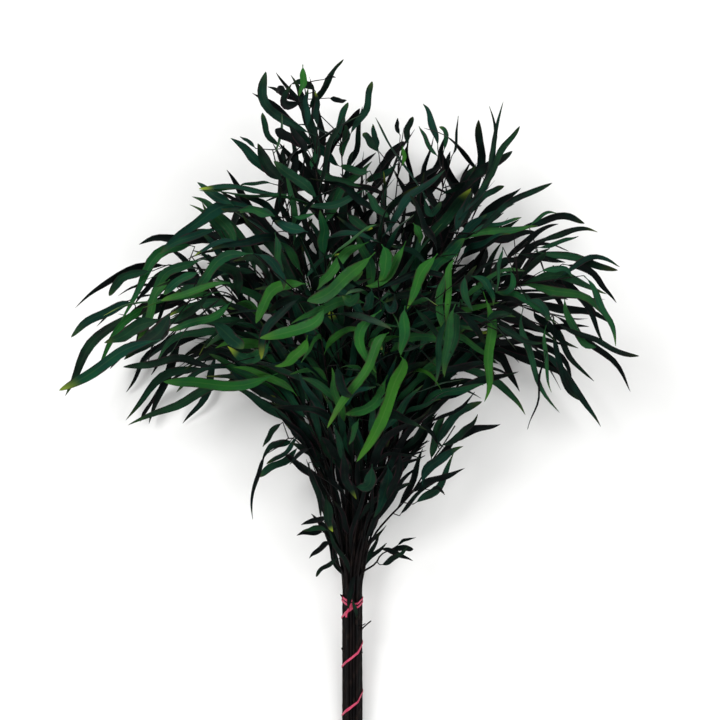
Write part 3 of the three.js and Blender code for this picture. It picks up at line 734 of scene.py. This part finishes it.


# Leaves that lie over the bunch where they show most, on thin twigs of their own: the foot, the
# middle and the tip of each, across and up from the neck, its width, all in millimetres, and how
# light it is painted, its own tone together with painted light and shade. The one whose foot is
# at (-76, 674) finds no place; it stays for the draws after it.
LAID_LEAVES = [
    # The front, hanging towards the handle.
    (66, 369, 64, 336, 61, 307, 14, 0.8), (61, 307, 56, 265, 5, 172, 16, 0.95),
    (37, 364, 12, 329, 31, 285, 13, 0.9), (46, 336, 20, 300, -31, 216, 13, 0.85),
    (46, 283, 24, 245, -9, 232, 13, 0.85), (-33, 369, -60, 342, -115, 329, 16, 0.95),
    (-55, 333, -69, 307, -97, 294, 14, 0.9), (-53, 396, -93, 389, -120, 347, 14, 0.85),
    (29, 433, -13, 395, -55, 374, 16, 0.7), (22, 451, -16, 426, -44, 390, 12, 0.8),
    (106, 433, 84, 402, 68, 364, 14, 0.95), (121, 422, 111, 378, 115, 336, 10, 0.7),
    (128, 371, 117, 327, 113, 283, 12, 0.6), (68, 451, 46, 409, 17, 395, 13, 0.85),
    (37, 446, 44, 422, 33, 400, 17, 0.9), (26, 168, 22, 143, 5, 137, 16, 0.3),
    (-18, 296, -13, 274, 0, 256, 12, 0.15), (-25, 221, -13, 185, -2, 161, 9, 0.3),
    (9, 227, 3, 210, -4, 193, 8, 0.6), (11, 389, 0, 375, -12, 382, 12, 0.55),
    (25, 391, 22, 373, 12, 365, 12, 0.4), (53, 384, 51, 364, 40, 375, 10, 0.3),
    # The left wing.
    (-115, 490, -177, 487, -238, 444, 17, 0.5), (-147, 495, -170, 509, -195, 526, 12, 0.5),
    (-73, 507, -133, 512, -191, 514, 6, 0.6), (-201, 447, -245, 434, -299, 350, 14, 0.8),
    (-184, 430, -231, 411, -257, 374, 12, 0.6), (-226, 402, -245, 374, -266, 317, 12, 0.75),
    (-254, 416, -289, 409, -313, 384, 12, 0.4), (-285, 374, -322, 369, -372, 331, 12, 0.45),
    (-119, 431, -161, 420, -189, 385, 13, 0.65), (-184, 410, -208, 398, -231, 382, 10, 0.65),
    (-147, 395, -187, 388, -233, 374, 9, 0.75), (-149, 376, -184, 353, -231, 339, 10, 0.8),
    (-219, 362, -243, 330, -278, 302, 21, 0.25), (-231, 327, -294, 302, -359, 264, 14, 0.6),
    (-236, 353, -271, 339, -309, 323, 17, 0.35), (-170, 293, -222, 300, -290, 293, 10, 0.1),
    (-194, 292, -254, 276, -309, 219, 12, 0.25), (-166, 269, -224, 250, -301, 214, 13, 0.3),
    (-95, 285, -166, 271, -245, 274, 14, 0.95), (-177, 350, -154, 334, -136, 316, 17, 0.4),
    (-105, 327, -126, 304, -159, 320, 16, 0.6), (-94, 479, -115, 488, -140, 486, 10, 0.6),
    (-95, 460, -91, 432, -88, 405, 10, 0.6), (-54, 460, -77, 467, -96, 476, 14, 0.5),
    (-119, 432, -91, 416, -84, 388, 12, 0.35), (-166, 467, -208, 460, -245, 437, 10, 0.5),
    (-142, 453, -173, 448, -201, 434, 9, 0.45),
    # The right wing.
    (148, 408, 172, 395, 178, 370, 10, 0.65), (165, 388, 176, 313, 167, 248, 14, 0.85),
    (130, 432, 117, 388, 121, 336, 9, 0.8), (137, 378, 127, 332, 117, 279, 12, 0.55),
    (117, 355, 109, 316, 104, 269, 8, 0.4), (139, 406, 139, 385, 150, 362, 10, 0.5),
    (216, 367, 223, 302, 265, 234, 9, 0.4), (247, 346, 244, 304, 254, 260, 6, 0.65),
    (260, 350, 267, 292, 296, 249, 8, 0.15), (273, 388, 284, 339, 314, 318, 10, 0.6),
    (286, 406, 312, 367, 328, 318, 9, 0.65), (258, 423, 295, 376, 326, 320, 9, 0.1),
    (270, 425, 309, 411, 342, 375, 9, 0.05), (204, 437, 270, 429, 337, 415, 10, 0.15),
    (230, 439, 277, 429, 314, 434, 9, 0.45), (230, 446, 270, 465, 313, 464, 8, 0.1),
    (235, 446, 267, 452, 293, 462, 6, 0.5), (204, 462, 251, 481, 296, 475, 9, 0.1),
    (223, 469, 239, 484, 258, 487, 5, 0.5), (141, 453, 186, 465, 235, 471, 10, 0.7),
    (148, 460, 176, 471, 214, 481, 6, 0.6), (139, 460, 165, 473, 193, 489, 6, 0.1),
    (137, 462, 153, 472, 171, 486, 12, 0.45), (130, 460, 139, 488, 151, 514, 12, 0.3),
    (148, 481, 169, 509, 193, 522, 8, 0.2), (186, 441, 183, 416, 179, 385, 5, 0.6),
    (195, 417, 201, 392, 182, 388, 8, 0.65), (232, 410, 258, 416, 277, 404, 8, 0.6),
    (181, 350, 204, 330, 242, 323, 9, 0.25), (258, 353, 312, 323, 370, 307, 8, 0.1),
    (246, 313, 236, 264, 222, 213, 3, 0), (113, 187, 125, 222, 171, 248, 13, 0.3),
    (95, 218, 132, 236, 161, 261, 5, 0), (113, 190, 144, 206, 165, 232, 10, 0.15),
    (200, 360, 181, 357, 167, 346, 10, 0.3), (218, 376, 237, 369, 244, 350, 10, 0.4),
    # The top.
    (-43, 582, -100, 618, -108, 666, 12, 0.3), (-90, 573, -109, 595, -115, 620, 8, 0.3),
    (-53, 559, -76, 576, -95, 589, 13, 0.05), (-55, 554, -64, 573, -78, 593, 10, 0.05),
    (-59, 628, -84, 628, -76, 653, 12, 0.1), (-62, 676, -62, 655, -67, 636, 9, 1),
    (-55, 592, -57, 618, -55, 646, 8, 0.3), (-43, 592, -44, 618, -46, 641, 8, 0.2),
    (-24, 580, -15, 608, -5, 638, 9, 0.45), (-4, 582, 16, 620, 26, 656, 9, 0.3),
    (34, 573, 30, 592, 27, 609, 8, 0.3), (34, 561, 24, 576, 14, 589, 9, 0.25),
    (64, 573, 66, 561, 64, 549, 6, 0.95), (72, 582, 73, 603, 80, 621, 9, 0.2),
    (63, 596, 59, 608, 60, 620, 6, 0.1), (110, 573, 104, 606, 91, 632, 9, 0.4),
    (112, 561, 96, 582, 86, 603, 6, 0.45), (117, 568, 121, 589, 112, 602, 6, 0.45),
    (127, 561, 133, 582, 136, 615, 4, 0.1), (23, 539, 6, 539, -14, 547, 9, 0.5),
    (60, 559, 37, 544, 18, 539, 9, 0.35), (-48, 545, -20, 529, 13, 521, 9, 0.35),
    (16, 515, -22, 499, -62, 496, 10, 0.45), (-86, 528, -107, 552, -121, 580, 16, 0.15),
    (-123, 573, -133, 582, -144, 589, 5, 0.3), (-90, 508, -140, 514, -191, 515, 6, 0.45),
    (-100, 528, -126, 531, -147, 527, 5, 0.3), (-50, 540, -47, 555, -42, 571, 8, 0.6),
    (-95, 479, -118, 486, -142, 488, 10, 0.6), (-74, 482, -60, 481, -46, 486, 6, 0.7),
    (-6, 488, 9, 474, 27, 469, 13, 0.5), (18, 514, 30, 495, 46, 481, 10, 0.4),
    (77, 474, 85, 462, 85, 449, 10, 0.9), (91, 512, 101, 488, 114, 505, 9, 0.4),
    (-76, 674, -75, 686, -84, 701, 3, 0), (-31, 647, -19, 645, -7, 647, 8, 0.05),
    (-37, 667, -29, 670, -21, 670, 4, 0.1), (-86, 648, -93, 655, -101, 656, 12, 0.1),
    (-48, 655, -62, 667, -81, 667, 10, 0.1), (-15, 582, -7, 596, -10, 606, 8, 0.2),
    # The low sprigs and the neck.
    (92, 138, 108, 169, 147, 189, 14, 0.3), (81, 110, 112, 134, 136, 180, 12, 0.35),
    (63, 94, 81, 116, 121, 143, 6, 0.05), (103, 130, 114, 132, 123, 123, 5, 0.1),
    (-69, 189, -96, 165, -129, 147, 10, 0.35), (-111, 180, -127, 147, -130, 92, 6, 0.05),
    (-91, 220, -107, 205, -118, 187, 8, 0.2), (-69, 205, -87, 183, -113, 165, 6, 0.25),
    (-54, 187, -69, 178, -82, 165, 6, 0.15), (-32, 94, -49, 88, -69, 81, 8, 0.02),
    (-32, 77, -47, 79, -67, 75, 8, 0.2), (46, 165, 46, 130, 28, 94, 17, 0.3),
    (-34, 125, -32, 99, -25, 77, 13, 0.25), (-12, 187, -7, 152, 6, 121, 12, 0.1),
    (-56, 169, -47, 134, -40, 94, 8, 0.1), (63, 187, 57, 152, 46, 121, 10, 0.08),
    (90, 222, 103, 205, 121, 187, 6, 0.05), (6, 17, -3, -7, -4, -32, 9, 0.12),
    (0, -16, 4, -32, 6, -45, 6, 0.2), (37, 52, 59, 46, 81, 35, 8, 0.05),
    (-25, 59, -43, 50, -58, 35, 8, 0.03), (-16, 37, -34, 28, -49, 10, 6, 0.1),
    (37, 32, 55, 39, 74, 54, 8, 0.1),
    # Tips at the back.
    (136, 480, 166, 532, 191, 629, 9, 0.3), (155, 506, 183, 552, 211, 596, 8, 0.25),
    (168, 532, 179, 572, 172, 621, 6, 0.2), (155, 460, 195, 493, 254, 526, 8, 0.2),
    (254, 401, 300, 427, 337, 418, 8, 0.3),
]
LAID_TONE_AND_SHADE = 0.9  # of the tone and painted shade in the table
LAID_BLUNT_SHARE = 0.35
LAID_FALL = (0, 20 * MM)  # how far a laid leaf's tip is below its foot
HIGHEST = high_corner[2] - 4 * MM
LAYING_STEP = 5 * MM

leafy_stems = [(name, branch["line"][branch["at"] > branch["neck_at"]])
               for name, branch in branches.items()]
stem_points = np.vstack([line for _, line in leafy_stems])
stem_owners = np.repeat([name for name, _ in leafy_stems], [len(line) for _, line in leafy_stems])


def open_above(points):
    """True if nothing grown so far lies over the points."""
    low, high = np.array(foliage.low), np.array(foliage.high)
    for point in points:
        over_it = np.all((low[:, :2] <= point[:2]) & (point[:2] <= high[:, :2]), axis=1)
        over_it = np.flatnonzero(over_it & (high[:, 2] > point[2]))
        if any(foliage.trees[i].ray_cast(Vector(point), Vector(UP))[0] for i in over_it):
            return False
    return True


def nearest_stem(foot):
    """(point, branch) where a twig to the foot starts: near it, and not far past it."""
    away = foot - stem_points
    reach = np.linalg.norm(away, axis=1) + 0.5 * np.maximum(-away[:, 1], 0)
    nearest = int(np.argmin(reach))
    return stem_points[nearest], branches[str(stem_owners[nearest])]


def join_by_twig(shells, joint, foot):
    """A thin twig from a stem to the foot of a laid leaf."""
    bend = (joint + foot) / 2 + [0, 0, 0.3 * (foot[2] - joint[2])]
    path, _ = arc(joint, bend, foot, np.linspace(0, 1, 9)[:, None])
    radii = np.linspace(0.8 * MM, 0.55 * MM, len(path))[:, None] * np.ones(TWIG_CORNERS)
    rings, ahead = tube(path, radii, TWIG_CORNERS, across)
    shells.add(rings, path[0], path[-1] + 0.3 * MM * ahead[-1], stem_along=0.5, stem_node=0.0)


def lay_leaf(foot, middle, tip, width, tone_and_shade):
    """Lays a leaf over what has grown, as low as it fits, on a twig."""
    centres, tangents = arc(foot, 2 * middle - (foot + tip) / 2, tip, LEAF_KNOTS[:, None])
    roll, twist, fall = rng.uniform(-0.35, 0.35), rng.uniform(-0.6, 0.6), rng.uniform(*LAID_FALL)
    blunt = float(rng.random() < LAID_BLUNT_SHARE)
    angles = roll + twist * LEAF_KNOTS
    sides = np.array([-turn(np.cross(a, UP), a, angle) for a, angle in zip(tangents, angles)])
    aside = np.linalg.norm((stem_points - foot)[:, :2], axis=1)
    lowest = stem_points[np.argmin(aside - 0.4 * stem_points[:, 2]), 2] - 5 * MM
    for height in np.arange(lowest, HIGHEST, LAYING_STEP):
        rise = np.array([0, 0, height])
        fallen = np.array([0, 0, min(fall, height - 3 * MM)])
        arch = centres + rise - fallen * LEAF_KNOTS[:, None] ** 2
        leaf = {"base": foot + rise, "centres": arch, "sides": sides, "width": width,
                "tip": tip + rise - fallen}
        joint, owner = nearest_stem(leaf["base"])
        if open_above(arch) and place_leaf(owner["leaf_shells"], leaf, tone_and_shade, 0.07, blunt):
            join_by_twig(owner["stem_shells"], joint, leaf["base"])
            return


for foot_x, foot_y, middle_x, middle_y, tip_x, tip_y, width, tone_and_shade in LAID_LEAVES:
    spots = np.array([[foot_x, foot_y, 0], [middle_x, middle_y, 0], [tip_x, tip_y, 0]]) * MM
    spots += neck_centre * [1, 1, 0]
    lay_leaf(*spots, width * MM, LAID_TONE_AND_SHADE * tone_and_shade)

# ---- Materials ----


class Shader:
    """A material and short ways to add nodes to it."""

    def __init__(self, name):
        self.material = bpy.data.materials.new(name)
        self.material.use_nodes = True
        self.nodes = self.material.node_tree.nodes
        self.links = self.material.node_tree.links
        self.skin = self.nodes["Principled BSDF"]

    def feed(self, socket, value):
        if isinstance(value, bpy.types.NodeSocket):
            self.links.new(value, socket)
        elif value is not None:
            socket.default_value = value

    def value(self, name):
        node = self.nodes.new("ShaderNodeAttribute")
        node.attribute_name = name
        return node.outputs["Fac"]

    def place(self, stretch=(1, 1, 1)):
        where = self.nodes.new("ShaderNodeTexCoord")
        mapping = self.nodes.new("ShaderNodeMapping")
        mapping.inputs["Scale"].default_value = stretch
        self.links.new(where.outputs["Object"], mapping.inputs["Vector"])
        return mapping.outputs["Vector"]

    def noise(self, scale, detail=3, vector=None):
        node = self.nodes.new("ShaderNodeTexNoise")
        self.feed(node.inputs["Vector"], vector or self.place())
        node.inputs["Scale"].default_value = scale
        node.inputs["Detail"].default_value = detail
        return node.outputs["Fac"]

    def vector(self, x, y, z):
        node = self.nodes.new("ShaderNodeCombineXYZ")
        for socket, value in zip(node.inputs, (x, y, z)):
            self.feed(socket, value)
        return node.outputs[0]

    def math(self, operation, a, b=None, clamp=False):
        node = self.nodes.new("ShaderNodeMath")
        node.operation = operation
        node.use_clamp = clamp
        self.feed(node.inputs[0], a)
        self.feed(node.inputs[1], b)
        return node.outputs[0]

    def times(self, a, b):
        return self.math("MULTIPLY", a, b)

    def ramp(self, value, low, high, to_low=0.0, to_high=1.0):
        """value, read from the span low to high onto the span to_low to to_high."""
        node = self.nodes.new("ShaderNodeMapRange")
        node.interpolation_type = "SMOOTHSTEP"
        names = ("Value", "From Min", "From Max", "To Min", "To Max")
        for name, fed in zip(names, (value, low, high, to_low, to_high)):
            self.feed(node.inputs[name], fed)
        return node.outputs[0]

    def mix(self, share, a, b):
        node = self.nodes.new("ShaderNodeMix")
        node.data_type = "RGBA"
        self.feed(node.inputs["Factor"], share)
        self.feed(node.inputs[6], a)
        self.feed(node.inputs[7], b)
        return node.outputs[2]

    def bump(self, height, strength, distance):
        node = self.nodes.new("ShaderNodeBump")
        node.inputs["Strength"].default_value = strength
        node.inputs["Distance"].default_value = distance
        self.feed(node.inputs["Height"], height)
        self.links.new(node.outputs[0], self.skin.inputs["Normal"])


def colour(r, g, b):
    """A screen colour from 0 to 255, as the linear colour that Blender mixes."""
    screen = (r / 255, g / 255, b / 255)
    linear = [c / 12.92 if c <= 0.04045 else ((c + 0.055) / 1.055) ** 2.4 for c in screen]
    return (*linear, 1.0)


def leaf_material():
    s = Shader("leaf")
    tone_and_shade, seed = s.value("leaf_tone"), s.value("leaf_seed")
    length, width, under = s.value("leaf_along"), s.value("leaf_across"), s.value("leaf_under")
    off_middle = s.math("ABSOLUTE", width)
    patches = s.noise(38, 4)
    uneven = s.times(s.math("SUBTRACT", patches, 0.5), 0.55)
    lightness = s.math("ADD", tone_and_shade, uneven, clamp=True)
    # The darkest green is painted shade for leaves in the depth of the bunch, and the brightest green
    # is painted light for those on top; the leaf's tone and shade picks between them.
    dark = s.mix(seed, colour(2, 5, 6), colour(6, 15, 13))
    teal = s.mix(seed, colour(10, 46, 38), colour(22, 58, 34))
    lit_green = s.mix(seed, colour(26, 82, 32), colour(46, 98, 28))
    green = s.mix(s.ramp(lightness, 0.0, 0.5), dark, teal)
    green = s.mix(s.ramp(lightness, 0.4, 1.0), green, lit_green)
    tip = s.times(s.ramp(length, 0.78, 1.0), s.value("leaf_tip"))
    green = s.mix(tip, green, colour(150, 170, 52))
    midrib = s.times(s.ramp(off_middle, 0.03, 0.14, 0.1, 0.0), tone_and_shade)
    green = s.mix(midrib, green, colour(108, 142, 76))
    worn = s.times(s.ramp(off_middle, 0.62, 1.0), s.ramp(s.noise(60, 2), 0.42, 0.62))
    green = s.mix(s.times(worn, 0.75), green, colour(44, 22, 30))
    specks = s.ramp(s.noise(900, 2), 0.66, 0.72, 0.0, 0.5)
    green = s.mix(specks, green, colour(30, 26, 20))
    pale = s.mix(0.2, green, colour(96, 116, 98))
    green = s.mix(s.times(under, s.ramp(lightness, 0.0, 0.5)), green, pale)
    s.feed(s.skin.inputs["Base Color"], green)
    rough, shine = s.ramp(patches, 0.3, 0.7, 0.5, 0.68), s.times(tone_and_shade, 0.14)
    s.feed(s.skin.inputs["Roughness"], s.math("SUBTRACT", rough, shine))
    s.skin.inputs["Specular IOR Level"].default_value = 0.05
    veins = s.vector(s.times(length, 60.0), s.times(width, 3.0), seed)
    veins = s.noise(1.0, 2, veins)
    s.bump(s.math("ADD", s.times(veins, 0.5), s.noise(420, 3)), 0.35, 0.0006)
    return s.material


def bark_material():
    s = Shader("bark")
    streaks = s.noise(130, 4, s.place((1, 0.12, 1)))
    brown = s.mix(s.ramp(streaks, 0.35, 0.7), colour(3, 3, 4), colour(20, 14, 14))
    scars = s.math("MULTIPLY", s.value("stem_node"), 0.35, clamp=True)
    brown = s.mix(scars, brown, colour(52, 39, 33))
    s.skin.inputs["Specular IOR Level"].default_value = 0.08
    s.feed(s.skin.inputs["Base Color"], brown)
    s.feed(s.skin.inputs["Roughness"], s.ramp(streaks, 0.3, 0.7, 0.5, 0.75))
    s.bump(s.math("ADD", streaks, s.noise(900, 3)), 0.5, 0.0005)
    return s.material


def string_material():
    s = Shader("string")
    run, width = s.value("string_along"), s.value("string_across")
    fibres = s.vector(s.times(run, 4.0), s.times(width, 9.0), 0.0)
    fibres = s.noise(1.0, 3, fibres)
    pink = s.mix(s.ramp(fibres, 0.35, 0.65), colour(150, 16, 54), colour(216, 62, 106))
    s.feed(s.skin.inputs["Base Color"], pink)
    s.feed(s.skin.inputs["Roughness"], s.ramp(fibres, 0.3, 0.7, 0.3, 0.5))
    s.bump(fibres, 0.6, 0.0004)
    return s.material


leaf_skin, bark_skin, string_skin = leaf_material(), bark_material(), string_material()
for node, branch in branches.items():
    name = node.removeprefix("branch_")
    branch["stem_shells"].piece(name + "_stem", bark_skin, "bark", [node])
    branch["leaf_shells"].piece(name + "_leaves", leaf_skin, "leaf", [node])
string.piece("string", string_skin, "string", ["tie_string"])

# ---- Floor, light and camera ----

bpy.ops.mesh.primitive_plane_add(size=8, location=(0, 0, 0))
floor = bpy.context.object
floor.name = "floor"
paper = Shader("paper")
paper.skin.inputs["Base Color"].default_value = (0.9, 0.9, 0.89, 1)
paper.skin.inputs["Roughness"].default_value = 0.9
floor.data.materials.append(paper.material)

LIT = (0, 0.05, 0.1)  # where the softboxes point


def softbox(place, size, watts):
    lamp = bpy.data.lights.new("softbox", "AREA")
    lamp.size = size
    lamp.energy = watts
    made = new_object("softbox", lamp)
    made.location = place
    made.rotation_euler = (Vector(LIT) - Vector(place)).to_track_quat("-Z", "Y").to_euler()


softbox((-1.4, 1.2, 2.2), 1.2, 58)
softbox((1.5, 0.9, 2.0), 1.4, 30)
softbox((0.2, -1.8, 1.8), 1.4, 26)
world = bpy.data.worlds.new("studio")
world.use_nodes = True
backdrop = world.node_tree.nodes["Background"].inputs
backdrop["Color"].default_value = (1, 1, 1, 1)
backdrop["Strength"].default_value = 0.3
bpy.context.scene.world = world
bpy.context.scene.view_settings.view_transform = "Standard"

lens = bpy.data.cameras.new("camera")
camera = new_object("camera", lens)
CAMERA_HEIGHT = 2.4
HALF_WAY_UP = 0.13  # the height at which what the picture holds is FRAMED across
FRAMED = 0.936
FROM_NECK = (0.0104, 0.302)  # of the middle of the picture, across and up
SENSOR = 36
lens.sensor_width = SENSOR
lens.lens = SENSOR * (CAMERA_HEIGHT - HALF_WAY_UP) / FRAMED
camera.location = (neck_centre[0] + FROM_NECK[0], neck_centre[1] + FROM_NECK[1], CAMERA_HEIGHT)
bpy.context.scene.camera = camera
